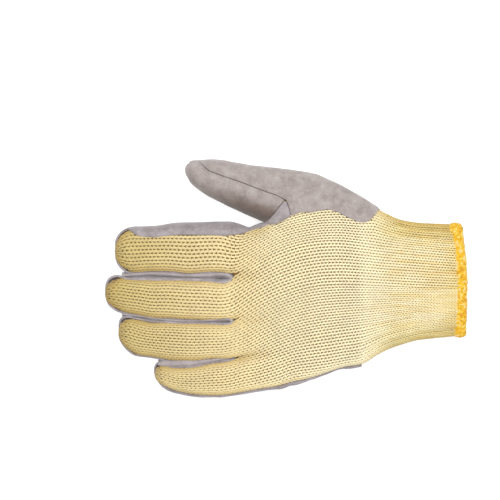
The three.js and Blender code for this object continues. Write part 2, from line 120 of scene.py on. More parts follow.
# The yarn is thicker toward the fingertips, and has its own thickness over the hand and the cuff.
TIP_YARN = 0.18
TIP_YARN_LENGTH = 20 * MM
HAND_YARN = 0.76
CUFF_YARN = 1.03
# A loop of yarn: its samples, its swing to the sides and reach along in stitches, depth and lift.
LOOP_SAMPLES = 10
LOOP_SWING = 0.23
LOOP_REACH = 0.86
LOOP_DEPTH = 0.45 * MM
LOOP_LIFT = -0.1 * MM
STEPS_PER_WALE = 4
# Rays from the middle of a finger or of the cuff find where a course lies on the skin.
FAN_RAYS = 121
RAY_LENGTH = 0.15
SHORTEST_COURSE = 4
SHORTEST_RUN = 4
# The body of the knit lies under its loops, dark as painted shade in the holes between them. The loops
# end under the leather's edge and before the hem.
CORE_DEPTH = 1.3 * MM
CORE_WALL = 0.8 * MM
LOOPS_UNDER_LEATHER = 1.5 * MM
HEM_CLEAR = 0.5 * MM

# Leather
LEATHER_RISE = 1.8 * MM
LEATHER_EDGE_RISE = 1.25 * MM
LEATHER_BACK = 0.2 * MM
LEATHER_ROUND = 2.4 * MM
SEAM_HALF = 0.2 * MM
PANEL_OVERLAP = 0.4 * MM
# Left of this pixel the palm panel lies beside the fingers, and the panels overlap.
BESIDE_FINGERS = 262
# Heights between which the photograph's lines take over from the frame's seams round the thumb.
THUMB_BACK = (11 * MM, 15 * MM)
# The corner of the web between thumb and palm, and how far the palm panel reaches round it.
WEB_CORNER = (277, 210)
WEB_REACH = 20 * MM
# Waves of the hide: their size, height and seed.
HIDE_WAVES = [(22 * MM, 0.45 * MM, 3.1), (7 * MM, 0.2 * MM, 8.4)]
# Slack beside the index finger: from and to across the photograph and its softness, and from and to
# down the photograph.
INDEX_SLACK = 2.3 * MM
INDEX_SLACK_ACROSS = (150, 258, 30)
INDEX_SLACK_DOWN = (215, 262)
# Slack of the palm along the little finger, below a pixel down: millimetres, from and to across
# the photograph, and softness.
LITTLE_SLACK = [(0.5, 158, 380, 10), (2.4, 336, 380, 14)]
LITTLE_SLACK_TOP = 355
# Painted shade: the thumb's inner side, which turns down away from the light, is darker, by a share
# that grows between two pixels across. The shade starts at a distance from the seam and ends at a pixel
# down.
INNER_PAINTED_SHADE = 0.3
INNER_PAINTED_SHADE_GROWTH = 0.42
INNER_PAINTED_SHADE_ACROSS = (185, 262)
INNER_PAINTED_SHADE_START = (3 * MM, 16 * MM)
INNER_PAINTED_SHADE_BOTTOM = 223
# Painted shade: the palm leather beside the index finger is a little darker below a pixel down, and its
# fold lighter.
INDEX_PAINTED_SHADE = 0.1
INDEX_PAINTED_SHADE_TOP = 222
FOLD_LIGHT = 0.2
FOLD_WIDTH = (1.6 * MM, 3.0 * MM)

# Outlines in pixels of the photograph.
# The edge where the leather gives way to knit on the back, from the index fingertip to the wrist.
TOP_LEATHER_EDGE = [
    (60, 229), (126, 229.5), (132, 232), (136, 235.5), (142, 237.2), (155, 237.8), (165, 236.7),
    (180, 235.4), (200, 235.6), (225, 236.4), (241, 234.6), (256, 230.2), (272, 224.6), (283, 220),
    (291, 215.8), (300, 212.4), (312, 212.6), (320, 210.6), (328, 209.6), (336, 212), (345, 216.6),
    (352, 219.8), (358, 222.6), (364, 223), (369, 220.5), (374, 215), (381, 206), (388, 198),
]
# The leather's wrist edge under the hand, from the thumb side to the little-finger side.
WRIST_EDGE = [
    (388, 150), (386, 190), (380, 209), (372, 240), (366, 277), (363, 320), (362, 345),
    (361, 372), (358, 420),
]
# The seam between the two thumb panels.
THUMB_SEAM = [
    (150, 162.5), (184.5, 163.4), (190, 163), (199, 163.5), (204, 167.5), (209, 171.5), (221, 176),
    (240, 182.5), (260, 190), (277, 196), (285.5, 200.5), (288, 206), (290.5, 214), (292, 222),
]
# The crease where the inner thumb panel ends against the web of the palm.
THUMB_CREASE = [
    (296, 190), (286, 199), (281, 204.5), (275, 212), (270, 217.5), (264, 221.5), (258, 226),
]
# Small moves of the skin: pixel of the middle, reach, and how far it moves right and down, in pixels.
SKIN_SHIFTS = [
    (182, 180, 11, 4.6, -1.6), (197, 157, 13, 0, 4.6), (130, 274, 12, 0, 3), (152, 280, 9, 0, 2.5),
    (190, 269, 12, 0, 2.5), (152, 322, 9, 0, 2.5), (172, 366, 12, 0, 4), (192, 366, 10, 0, 3),
    (213, 364, 9, 0, -2.5), (388, 214, 9, 0, -3.5), (222, 283, 8, 0, 2.5), (226, 327, 7, 0, 1.5),
    (226, 317, 7, 0, -1),
]
# The little finger's side: pixel along, the edge's pixel down, and how many pixels it draws in.
LITTLE_SIDE = [
    (150, 375, 2), (164, 393, 5), (172, 397, 5), (186, 399, 3), (204, 400, 2.2), (228, 399, 2.5),
    (244, 398, 4), (260, 396, 5), (276, 395, 6), (285, 392, 2.5), (292, 386, 0), (300, 385, 1),
    (310, 383.5, 3.2), (324, 379, 4), (340, 373, 4), (350, 370, 3), (358, 368, 1.5), (365, 363, 0),
]
LITTLE_SIDE_DEPTH = 14
# Height of the seam along each side of the hand and the fingers, along the photograph.
SEAM_HEIGHT = [(100, 10.1), (236, 10.1), (310, 13.5), (362, 9.6), (480, 9.6)]
# How far apart the courses of the knit stand, in millimetres, along the photograph.
COURSE_PITCH = [
    (100, 2.3), (150, 2.6), (190, 3.0), (228, 3.0), (270, 2.65), (340, 2.4), (385, 2.1), (470, 2.0),
]
# Lines between which the wales of each finger run on over the hand to the hem, top line first.
# Left of its crotch, a line keeps to the middle of the space between two fingers.
WALE_LINES = [
    [
        (60, 215), (215, 222), (236, 232), (243, 234), (250, 230), (265, 222.5), (280, 215.5), (300, 209),
        (320, 205), (340, 204), (360, 205.5), (374, 205), (380, 190), (470, 190),
    ],
    [
        (100, 274), (170, 276.5), (229, 278), (250, 266), (265, 257.5), (280, 250.5), (300, 244),
        (320, 241), (340, 240.5), (360, 243), (380, 246), (410, 249), (440, 252), (465, 254),
    ],
    [
        (100, 312), (130, 315), (170, 321), (232, 322), (250, 311), (265, 302.5), (280, 296), (300, 289),
        (320, 285), (340, 284), (360, 284.5), (380, 285.5), (410, 287), (465, 289),
    ],
    [
        (130, 361), (200, 362), (230, 357.5), (253, 352.8), (265, 347.5), (280, 341), (300, 334),
        (320, 330), (340, 327), (360, 324.5), (380, 321.5), (410, 316), (440, 312), (465, 310),
    ],
    [(100, 460), (470, 460)],
]
# Each finger: the wales across its back, the thickness of its yarn, the pixel across at which its own
# loops end, the middle line of its knit, and the furrows between its wales over the wrist. A furrow is
# the wale, and where it starts and ends along the photograph.
FINGERS = [
    {
        "name": "index", "wales": 7, "yarn": 1.0, "end": 229,
        "axis": [
            (105, 253), (130, 252), (230, 255), (250, 250), (300, 228), (340, 224), (380, 228),
            (470, 236),
        ],
        "furrows": [(2.0, 392, 470), (4.0, 384, 470)],
    },
    {
        "name": "middle", "wales": 7, "yarn": 1.0, "end": 232,
        "axis": [
            (100, 293), (125, 296), (160, 300), (232, 301), (262, 281), (300, 267), (380, 265),
            (470, 270),
        ],
        "furrows": [(1.0, 385, 440), (4.0, 380, 470)],
    },
    {
        "name": "ring", "wales": 8, "yarn": 0.92, "end": 243,
        "axis": [
            (110, 329), (130, 335), (165, 341), (232, 340), (262, 327), (300, 312), (380, 303),
            (470, 299),
        ],
        "furrows": [(1.5, 375, 450), (4.8, 336, 410)],
    },
    {
        "name": "little", "wales": 8, "yarn": 0.86, "end": 253,
        "axis": [
            (148, 373), (165, 378), (200, 381), (254, 372), (300, 358), (380, 335), (470, 322),
        ],
        "furrows": [(0.3, 360, 420), (3.1, 350, 425), (5.0, 370, 470)],
    },
]
FURROW_DEPTH = 1.35 * MM
FURROW_HALF = 0.36
FURROW_FADE = 12
# Where the loops of the hand give way to the cuff's.
HAND_END = 362
# The side seam drops round each fingertip, between two distances from it.
TIP_DROP = 3.2 * MM
TIP_NEAR = 6 * MM
TIP_FAR = 13 * MM
# The loops stand higher at a fingertip, less and less over a length behind it.
TIP_LIFT = 1.2 * MM
TIP_LIFT_LENGTH = 8 * MM
# A fingertip's first courses fan round its nose: how far behind the tip they turn, how far below the
# seam, their leans, and how far behind them the next course may start.
TIP_ROUND = 5.5 * MM
TIP_BELOW = 3.2 * MM
TIP_LEANS = [math.radians(a) for a in (5, 27, 49, 70)]
TIP_CLEAR = 0.8 * MM
# A ray along the glove finds a fingertip: where it starts in front of it, and its height.
TIP_SEARCH = 30 * MM
TIP_HEIGHT = 9.5 * MM
# The underside's wales, where they start, and where all the knit's courses start and end.
UNDER_WALES = 30
UNDER_START = 354
COURSES_START = 100
HEM_START = 457


def plan_x(px):
    """X of a pixel across the photograph."""
    return (px - ORIGIN_PX[0]) * PIXEL


def plan_y(py):
    """Y of a pixel down the photograph."""
    return (ORIGIN_PX[1] - py) * PIXEL


def plan(px, py):
    """A pixel of the photograph as a plan point in the row frame."""
    return (plan_x(px), plan_y(py))


def plan_line(points):
    return np.array([plan(*p) for p in points])


def pixel_across(x):
    """The pixel across the photograph at places x in metres."""
    return np.asarray(x) / PIXEL + ORIGIN_PX[0]


def along_photo(table, x):
    """A value off a table of (pixel across the photograph, value) rows, at places x in metres."""
    places, values = zip(*table)
    return np.interp(pixel_across(x), places, values)


def line_y(points, x):
    """Where a plan line that runs along X stands at places x."""
    line = plan_line(points)
    return np.interp(x, line[:, 0], line[:, 1])


def seam_height(x, y):
    """Height of the seam along the sides of the hand and fingers, lower round each fingertip."""
    height = along_photo(SEAM_HEIGHT, x) * MM
    for finger in FINGERS:
        tip = plan(*finger["axis"][0])
        away = np.hypot(x - tip[0], y - tip[1])
        height = height - TIP_DROP * (1 - smoothstep(TIP_NEAR, TIP_FAR, away))
    return height


def smoothstep(low, high, x):
    t = np.clip((x - low) / (high - low), 0, 1)
    return t * t * (3 - 2 * t)


# Meshes and arrays


def linked(name, data):
    """A new object in the scene."""
    piece = bpy.data.objects.new(name, data)
    bpy.context.scene.collection.objects.link(piece)
    return piece


def mesh_object(name, points, faces, material, smooth=True):
    """A new object from points and rows of corner numbers, all rows equally long."""
    mesh = bpy.data.meshes.new(name)
    faces = np.asarray(faces, np.int32)
    mesh.vertices.add(len(points))
    mesh.vertices.foreach_set("co", np.asarray(points, np.float32).ravel())
    mesh.loops.add(faces.size)
    mesh.loops.foreach_set("vertex_index", faces.ravel())
    mesh.polygons.add(len(faces))
    mesh.polygons.foreach_set("loop_start", np.arange(len(faces), dtype=np.int32) * faces.shape[1])
    mesh.polygons.foreach_set("use_smooth", np.full(len(faces), smooth))
    mesh.update(calc_edges=True)
    mesh.validate()
    mesh.materials.append(material)
    return linked(name, mesh)


def arrays_of(mesh):
    """The mesh's points and triangles."""
    mesh.calc_loop_triangles()
    points = np.empty(len(mesh.vertices) * 3, np.float32)
    mesh.vertices.foreach_get("co", points)
    triangles = np.empty(len(mesh.loop_triangles) * 3, np.int32)
    mesh.loop_triangles.foreach_get("vertices", triangles)
    return points.reshape(-1, 3).astype(float), triangles.reshape(-1, 3)


def unit(vectors):
    return vectors / np.maximum(np.linalg.norm(vectors, axis=-1, keepdims=True), 1e-12)


def vertex_normals(points, triangles):
    a, b, c = (points[triangles[:, i]] for i in range(3))
    face = np.cross(b - a, c - a)
    normals = np.zeros_like(points)
    for i in range(3):
        for k in range(3):
            normals[:, k] += np.bincount(triangles[:, i], face[:, k], len(points))
    return unit(normals)


def sides_of(triangles):
    """The directed sides of all triangles."""
    return np.concatenate([triangles[:, [0, 1]], triangles[:, [1, 2]], triangles[:, [2, 0]]])


def edges_of(triangles):
    return np.unique(np.sort(sides_of(triangles), axis=1), axis=0)


def boundary_edges(triangles):
    """The directed sides that only one triangle has."""
    sides = sides_of(triangles)
    _, index, count = np.unique(np.sort(sides, axis=1), axis=0, return_index=True, return_counts=True)
    return sides[index[count == 1]]


def averaged(values, edges, steps):
    """Values at points, evened out with their neighbours' a number of times."""
    count = np.maximum(np.bincount(edges.ravel(), minlength=len(values)), 1)
    for _ in range(steps):
        total = np.bincount(edges[:, 0], values[edges[:, 1]], len(values))
        total += np.bincount(edges[:, 1], values[edges[:, 0]], len(values))
        values = (values + total / count) / 2
    return values


def smoothed(points, triangles, steps):
    """Points evened out without shrinking: each round moves them in and then out again."""
    edges = edges_of(triangles)
    for step in range(2 * steps):
        even = np.stack([averaged(points[:, k], edges, 1) for k in range(3)], axis=1)
        points = points + (1.0 if step % 2 == 0 else -SMOOTHING_RETURN) * (even - points)
    return points


def compact(points, triangles, *values):
    """Without the points that no triangle uses; values go along with the points."""
    used, numbers = np.unique(triangles, return_inverse=True)
    return (points[used], numbers.reshape(-1, 3), *(v[used] for v in values))


def largest_part(points, triangles, *values):
    """The connected part of a mesh that has the largest box; values go along with the points."""
    label = np.arange(len(points))
    edges = edges_of(triangles)
    joined = False
    while not joined:
        low = np.minimum(label[edges[:, 0]], label[edges[:, 1]])
        new = label.copy()
        np.minimum.at(new, edges[:, 0], low)
        np.minimum.at(new, edges[:, 1], low)
        new = new[new]
        joined = (new == label).all()
        label = new
    sizes = {one: np.ptp(points[label == one], axis=0).sum() for one in np.unique(label)}
    best = max(sizes, key=sizes.get)
    return compact(points, triangles[label[triangles[:, 0]] == best], *values)


def shell(name, outer, inner, triangles, material):
    """An object between two surfaces that have the same triangles, closed along their rims."""
    rim = boundary_edges(triangles)
    count = len(outer)
    walls = np.concatenate([
        np.stack([rim[:, 1], rim[:, 0], rim[:, 0] + count], axis=1),
        np.stack([rim[:, 1], rim[:, 0] + count, rim[:, 1] + count], axis=1),
    ])
    faces = np.concatenate([triangles, triangles[:, ::-1] + count, walls])
    return mesh_object(name, np.concatenate([outer, inner]), faces, material)


def kd_tree(points):
    tree = KDTree(len(points))
    for i, p in enumerate(points.tolist()):
        tree.insert(p, i)
    tree.balance()
    return tree


def lengths_along(points):
    """Distance along a polyline to each of its points."""
    step = np.linalg.norm(np.diff(points, axis=0), axis=1)
    return np.concatenate([[0], np.cumsum(step)])


def line_distance(points, pixels):
    """Plan distance from points to a line of the photograph, positive to the line's left."""
    line = plan_line(pixels)
    best = np.full(len(points), np.inf)
    side = np.zeros(len(points))
    for a, b in zip(line, line[1:]):
        along = b - a
        t = np.clip((points[:, :2] - a) @ along / (along @ along), 0, 1)
        away = points[:, :2] - a - t[:, None] * along
        distance = np.linalg.norm(away, axis=1)
        nearer = distance < best
        turn = along[0] * away[:, 1] - along[1] * away[:, 0]
        best = np.where(nearer, distance, best)
        side = np.where(nearer, np.sign(turn), side)
    return best * side


def cut(points, triangles, inside, *values):
    """The part of a mesh where inside is positive, cut along its zero line."""
    sign = inside > 0
    edges = edges_of(triangles)
    crossing = edges[sign[edges[:, 0]] != sign[edges[:, 1]]]
    first, second = crossing[:, 0], crossing[:, 1]
    share = inside[first] / (inside[first] - inside[second])
    share = np.clip(share, CUT_MARGIN, 1 - CUT_MARGIN)
    number = {(int(a), int(b)): len(points) + i for i, (a, b) in enumerate(crossing)}
    grown = []
    for v in (points, *values):
        part = share if v.ndim == 1 else share[:, None]
        grown.append(np.concatenate([v, v[first] * (1 - part) + v[second] * part]))
    whole = sign[triangles].all(axis=1)
    kept = [tuple(t) for t in triangles[whole]]
    for triangle in triangles[sign[triangles].any(axis=1) & ~whole]:
        ring = []
        for p, q in zip(triangle, np.roll(triangle, -1)):
            if sign[p]:
                ring.append(int(p))
            if sign[p] != sign[q]:
                ring.append(number[(int(min(p, q)), int(max(p, q)))])
        kept.extend((ring[0], ring[i], ring[i + 1]) for i in range(1, len(ring) - 1))
    return compact(grown[0], np.array(kept), *grown[1:])


def noise_at(points, size, seed):
    """Smooth noise between about -1 and 1 at points, with features of one size."""
    return np.array([noise.noise(Vector(p) / size + Vector((seed, -seed, seed))) for p in points])


# The skin


def make_skin(frame):
    """Points, triangles and normals of the knit's smooth outer surface, open at the mouth."""
    bm = bmesh.new()
    for name in KNIT_NODES:
        bm.from_mesh(frame["nodes"][name].data)
    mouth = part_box("knit_hand")[1][0]
    # A plug shuts the mouth, so that the hollow inside drops out.
    rim = [v.co.copy() for v in bm.verts if v.co.x > mouth - MOUTH_RIM]
    plug = [bm.verts.new((mouth + shift, p.y, p.z)) for p in rim for shift in (0.0, -MOUTH_PLUG)]
    bmesh.ops.convex_hull(bm, input=plug)
    mesh = bpy.data.meshes.new("skin")
    bm.to_mesh(mesh)
    bm.free()
    rough = linked("skin", mesh)
    remesh = rough.modifiers.new("even", "REMESH")
    remesh.mode = "VOXEL"
    remesh.voxel_size = SKIN_VOXEL
    even = rough.evaluated_get(bpy.context.evaluated_depsgraph_get())
    points, triangles = arrays_of(even.to_mesh())
    even.to_mesh_clear()
    bpy.data.objects.remove(rough)
    points, triangles = largest_part(points, triangles)
    points = fitted(smoothed(points, triangles, SKIN_SMOOTHING))
    triangles = triangles[(points[triangles, 0] < mouth - MOUTH_TRIM).all(axis=1)]
    points, triangles = compact(points, triangles)
    return points, triangles, vertex_normals(points, triangles)


def fitted(points):
    """The skin with its outline drawn to the photograph's where the leather and loops would leave it."""
    shift = np.zeros((len(points), 2))
    for px, py, reach, right, down in SKIN_SHIFTS:
        x, y = plan(px, py)
        away = np.hypot(points[:, 0] - x, points[:, 1] - y) / (reach * PIXEL)
        share = np.exp(-(away**2))
        shift += share[:, None] * np.array([right, -down]) * PIXEL
    across = pixel_across(points[:, 0])
    px, edge, amount = np.array(LITTLE_SIDE).T
    inside = points[:, 1] - plan_y(np.interp(across, px, edge))
    share = 1 - smoothstep(0, LITTLE_SIDE_DEPTH * PIXEL, inside)
    shift[:, 1] += np.interp(across, px, amount, 0, 0) * PIXEL * share
    return np.column_stack([points[:, :2] + shift, points[:, 2]])


# Leather


class LeatherPlan:
    """Fields over the skin that tell where the leather lies: each is positive on its side."""

    def __init__(self, frame, points, triangles):
        self.points = points
        self.edges = edges_of(triangles)
        self.nodes = frame["nodes"]
        x, y, z = points.T
        below_seam = seam_height(x, y) - z
        above_edge = line_distance(points, TOP_LEATHER_EDGE)
        before_wrist = -line_distance(points, WRIST_EDGE)
        on_thumb_side = np.where(above_edge > 0, above_edge, np.maximum(above_edge, below_seam))
        self.field = np.minimum(np.maximum(below_seam, on_thumb_side), before_wrist)
        self.near = {name: self.distance_to(name) for name in LEATHER_NODES}

    def distance_to(self, name):
        """How far each point of the skin is from a leather node of the frame, evened out."""
        node = self.nodes[name]
        points, triangles = arrays_of(node.data)
        tree = BVHTree.FromPolygons(points.tolist(), triangles.tolist())
        found = np.array([tree.find_nearest(p)[3] for p in self.points.tolist()])
        return averaged(found, self.edges, steps=3)

    def of(self, name):
        """Where one panel lies: the leather that is nearer to its node than to any other."""
        others = np.min([d for other, d in self.near.items() if other != name], axis=0)
        nearest = (others - self.near[name]) / 2
        if name in ("palm_panel", "thumb_inner_panel", "thumb_outer_panel"):
            nearest = self.thumb_side(name, nearest)
        x, y, _ = self.points.T
        by_fingers = (x < plan_x(BESIDE_FINGERS)) | (y < 0) | (name in FINGER_PANELS)
        overlapping = by_fingers & (not name.startswith("thumb"))
        return np.minimum(self.field, nearest - np.where(overlapping, -PANEL_OVERLAP, SEAM_HALF))

    def thumb_side(self, name, nearest):
        """On the back of the thumb, the seams follow their lines in the photograph."""
        x, y, z = self.points.T
        seam = line_distance(self.points, THUMB_SEAM)
        web = line_distance(self.points, THUMB_CREASE)
        on_back = smoothstep(*THUMB_BACK, z)
        if name == "thumb_outer_panel":
            return nearest * (1 - on_back) + seam * on_back
        if name == "thumb_inner_panel":
            return nearest * (1 - on_back) + np.minimum(-seam, -web) * on_back
        corner = plan(*WEB_CORNER)
        near_web = np.hypot(x - corner[0], y - corner[1]) < WEB_REACH
        return np.where(near_web & (on_back > 0), np.maximum(nearest, np.minimum(web, -seam)), nearest)


def leather_painted_shade(points):
    """How light the hide is painted at places of the skin, as a share of its own colour: painted shade on
    the thumb's inner side and beside the index finger, lighter along that side's fold.
    """
    x, y, _ = points.T
    seam = line_distance(points, THUMB_SEAM)
    web = line_distance(points, THUMB_CREASE)
    growth = smoothstep(*(plan_x(px) for px in INNER_PAINTED_SHADE_ACROSS), x)
    # Painted shade on the thumb's inner side.
    inner = smoothstep(*INNER_PAINTED_SHADE_START, -seam) * (web < 0) * (y > plan_y(INNER_PAINTED_SHADE_BOTTOM))
    tint = 1 - inner * (INNER_PAINTED_SHADE + INNER_PAINTED_SHADE_GROWTH * growth)
    # Painted shade beside the index finger, less of it along its fold.
    edge = line_distance(points, TOP_LEATHER_EDGE)
    beside = (x < plan_x(BESIDE_FINGERS)) & (y < plan_y(INDEX_PAINTED_SHADE_TOP))
    fold = np.where(beside, 1 - smoothstep(*FOLD_WIDTH, edge), 0)
    return tint * (1 - INDEX_PAINTED_SHADE * beside) * (1 + FOLD_LIGHT * fold)


def leather_rise(points, normals):
    """Unevenness of the hide, and the slack that shows along the outline in the photograph."""
    x, y, _ = points.T
    rise = np.zeros(len(points))
    for size, height, seed in HIDE_WAVES:
        rise += noise_at(points, size, seed) * height
    top, bottom = INDEX_SLACK_DOWN
    by_index = (y > plan_y(bottom)) & (y < plan_y(top))
    rise += INDEX_SLACK * by_index * bump_between(*INDEX_SLACK_ACROSS, x) * np.clip(normals[:, 1], 0, 1)
    by_little = (y < plan_y(LITTLE_SLACK_TOP)) * np.clip(-normals[:, 1], 0, 1)
    for amount, low, high, soft in LITTLE_SLACK:
        rise += amount * MM * by_little * bump_between(low, high, soft, x)
    return rise


def bump_between(low, high, soft, x):
    """1 between two pixels across the photograph, falling to 0 over soft pixels at each end."""
    across = pixel_across(x)
    return smoothstep(low, low + soft, across) * (1 - smoothstep(high - soft, high, across))


def leather_sheet(name, skin, inside, rise, tint, material):
    """One panel of leather: the skin where inside is positive, lifted and given its thickness."""
    points, triangles, normals = skin
    panel = cut(points, triangles, inside, normals, rise, tint)
    points, triangles, normals, rise, tint = largest_part(*panel)
    normals = unit(normals)
    rim = boundary_edges(triangles)
    tree = kd_tree((points[rim[:, 0]] + points[rim[:, 1]]) / 2)
    to_edge = np.array([tree.find(p)[2] for p in points.tolist()])
    round_off = np.sqrt(1 - (1 - np.clip(to_edge / LEATHER_ROUND, 0, 1)) ** 2)
    height = LEATHER_EDGE_RISE + (LEATHER_RISE - LEATHER_EDGE_RISE) * round_off
    height += rise * (1 + round_off) / 2
    outer = points + normals * height[:, None]
    outer[:, 2] = np.maximum(outer[:, 2], 0.0)
    piece = shell(name, outer, points + normals * LEATHER_BACK, triangles, material)
    # The tint carries the hide's painted shade.
    shade = piece.data.attributes.new("tint", "FLOAT", "POINT")
    shade.data.foreach_set("value", np.concatenate([tint, tint]).astype(np.float32))
    return piece


# Rolls and strands


def frames_along(path, normals, closed=False):
    """Two directions square to a path at each of its points, the first nearest to normals."""
    if closed:
        ahead = np.roll(path, -1, axis=0) - np.roll(path, 1, axis=0)
    else:
        ahead = np.gradient(path, axis=0)
    ahead = unit(ahead)
    up = unit(normals - (normals * ahead).sum(axis=1, keepdims=True) * ahead)
    return up, np.cross(ahead, up)


def tube(path, up, across, radius, sides, closed=False):
    """Points and triangles of a tube along a path. radius may be one number or one per point."""
    count = len(path)
    turn = 2 * math.pi * np.arange(sides)[None, :, None] / sides
    radius = np.broadcast_to(np.asarray(radius, float), (count,))[:, None, None]
    ring = np.cos(turn) * up[:, None, :] + np.sin(turn) * across[:, None, :]
    points = (path[:, None, :] + ring * radius).reshape(-1, 3)
    last = count if closed else count - 1
    i = np.arange(last)[:, None]
    k = np.arange(sides)[None, :]
    a = i * sides + k
    b = i * sides + (k + 1) % sides
    c = (i + 1) % count * sides + (k + 1) % sides
    d = (i + 1) % count * sides + k
    quads = np.stack([a, b, c, d], axis=-1).reshape(-1, 4)
    triangles = np.concatenate([quads[:, [0, 1, 2]], quads[:, [0, 2, 3]]])
    if not closed:
        start = np.array([[0, k + 1, k] for k in range(1, sides - 1)])
        end = np.array([[0, k, k + 1] for k in range(1, sides - 1)]) + (count - 1) * sides
        triangles = np.concatenate([triangles, start, end])
    return points, triangles


def merged(parts):
    """Several (points, triangles) as one."""
    shifts = np.cumsum([0] + [len(p) for p, _ in parts])
    points = np.concatenate([p for p, _ in parts])
    triangles = np.concatenate([t + shift for (_, t), shift in zip(parts, shifts)])
    return points, triangles


# Knit


class Cloth:
    """The skin as the knit meets it: where rays hit it, and where the loops show."""

    def __init__(self, points, triangles, field):
        self.surface = BVHTree.FromPolygons(points.tolist(), triangles.tolist())
        self.points = kd_tree(points)
        self.field = field

    def fan(self, centre, turns, lean=math.pi / 2):
        """Points of the skin seen from a centre at angles from +Y up and over, leaning toward -X."""
        hits = []
        for turn in turns:
            way = Vector((-math.cos(lean), math.sin(lean) * math.cos(turn), math.sin(lean) * math.sin(turn)))
            place = self.surface.ray_cast(Vector(centre), way, RAY_LENGTH)[0]
            if place is not None:
                hits.append(tuple(place))
        return np.array(hits)

    def tip(self, finger):
        """X of a fingertip."""
        x, y = plan(*finger["axis"][0])
        start = Vector((x - TIP_SEARCH, y, TIP_HEIGHT))
        return self.surface.ray_cast(start, Vector((1, 0, 0)), RAY_LENGTH)[0].x

    def visible(self, path):
        """Which points of a path lie outside the leather and in front of the hem."""
        nearest = [self.points.find(p)[1] for p in path.tolist()]
        return (self.field[nearest] < LOOPS_UNDER_LEATHER) & (path[:, 0] < hem_x(path[:, 1]) - HEM_CLEAR)


def course_places():
    """X of each course from the hem forward to the fingertips, in metres, low X first."""
    x = plan_x(HEM_START)
    places = [x]
    while x > plan_x(COURSES_START):
        x -= float(along_photo(COURSE_PITCH, x)) * MM
        places.append(x)
    return np.array(places[::-1])


def resampled(points, count):
    """A polyline's points spaced evenly along it."""
    length = lengths_along(points)
    at = np.linspace(0, length[-1], count)
    return np.stack([np.interp(at, length, points[:, k]) for k in range(3)], axis=1)


def crossing(a, b, y):
    """Where the line between two points crosses a value of Y."""
    share = (y - a[1]) / (b[1] - a[1])
    return a + (b - a) * share


def clipped_to(points, high_y, low_y):
    """The part of a section, which runs from high Y to low Y, between two values of Y."""
    y = points[:, 1]
    inside = np.flatnonzero((y <= high_y) & (y >= low_y))
    if len(inside) < 2:
        return points[:0]
    first, last = inside[[0, -1]]
    kept = list(points[first:last + 1])
    if first > 0:
        kept.insert(0, crossing(points[first - 1], points[first], high_y))
    if last < len(points) - 1:
        kept.append(crossing(points[last], points[last + 1], low_y))
    return np.array(kept)


def finger_rows(cloth, number, places):
    """Grid of points for one finger's wales, from its tip to the hem, and X of the tip."""
    finger = FINGERS[number]
    tip = cloth.tip(finger)
    columns = finger["wales"] * STEPS_PER_WALE + 1
    over = np.linspace(0, math.pi, FAN_RAYS)
    start = tip + TIP_ROUND
    stations = [(start, lean) for lean in TIP_LEANS]
    stations += [(x, math.pi / 2) for x in places if x > start + TIP_CLEAR]
    rows = []
    for x, lean in stations:
        y = float(line_y(finger["axis"], x))
        below = TIP_BELOW * (1 - smoothstep(TIP_NEAR, TIP_FAR, x - tip))
        hits = cloth.fan((x, y, float(seam_height(x, y)) - below), over, lean)
        section = clipped_to(hits, line_y(WALE_LINES[number], x), line_y(WALE_LINES[number + 1], x))
        if len(section) >= SHORTEST_COURSE:
            rows.append(resampled(section, columns))
    return np.array(rows), tip


def section_centre(x):
    """A place inside the glove at X, over the middle finger's line and as high as the side seam."""
    y = float(line_y(FINGERS[1]["axis"], x))
    z = float(along_photo(SEAM_HEIGHT, x)) * MM
    return np.array([x, y, z])


def under_rows(cloth, places):
    """Grid for the underside of the cuff, from the little-finger side to the thumb side."""
    under = np.linspace(math.pi, 2 * math.pi, FAN_RAYS)
    rows = []
    for x in places[places >= plan_x(UNDER_START)]:
        hits = cloth.fan(section_centre(x), under)
        if len(hits) >= FAN_RAYS // 2:
            rows.append(resampled(hits, UNDER_WALES * STEPS_PER_WALE + 1))
    return np.array(rows)


def settled(rows):
    """A grid with the jitter between its courses evened out."""
    rows = rows.copy()
    for _ in range(3):
        rows[1:-1] = rows[1:-1] * 0.5 + (rows[:-2] + rows[2:]) * 0.25
        rows[:, 1:-1] = rows[:, 1:-1] * 0.5 + (rows[:, :-2] + rows[:, 2:]) * 0.25
    return rows


def grid_normals(grid):
    """Normals of a grid whose rows run along X and columns from the thumb side over the top."""
    down = np.gradient(grid, axis=0)
    across = np.gradient(grid, axis=1)
    return unit(np.cross(across, down))


def at_grid(grid, v, u):
    """Values between the points of a grid, at row v and column u."""
    rows, columns = grid.shape[:2]
    v = np.clip(v, 0, rows - 1.001)
    u = np.clip(u, 0, columns - 1.001)
    i, j = v.astype(int), u.astype(int)
    s, t = (v - i)[..., None], (u - j)[..., None]
    low = grid[i, j] * (1 - t) + grid[i, j + 1] * t
    high = grid[i + 1, j] * (1 - t) + grid[i + 1, j + 1] * t
    return low * (1 - s) + high * s


def furrow_depth(furrow, u, x):
    """How far the loops sink beside a furrow between two wales, which runs over part of the wrist."""
    wale, low, high = furrow
    reach = smoothstep(plan_x(low), plan_x(low + FURROW_FADE), x)
    reach = reach * (1 - smoothstep(plan_x(high - FURROW_FADE), plan_x(high), x))
    return FURROW_DEPTH * reach * np.exp(-(((u - wale) / FURROW_HALF) ** 2))


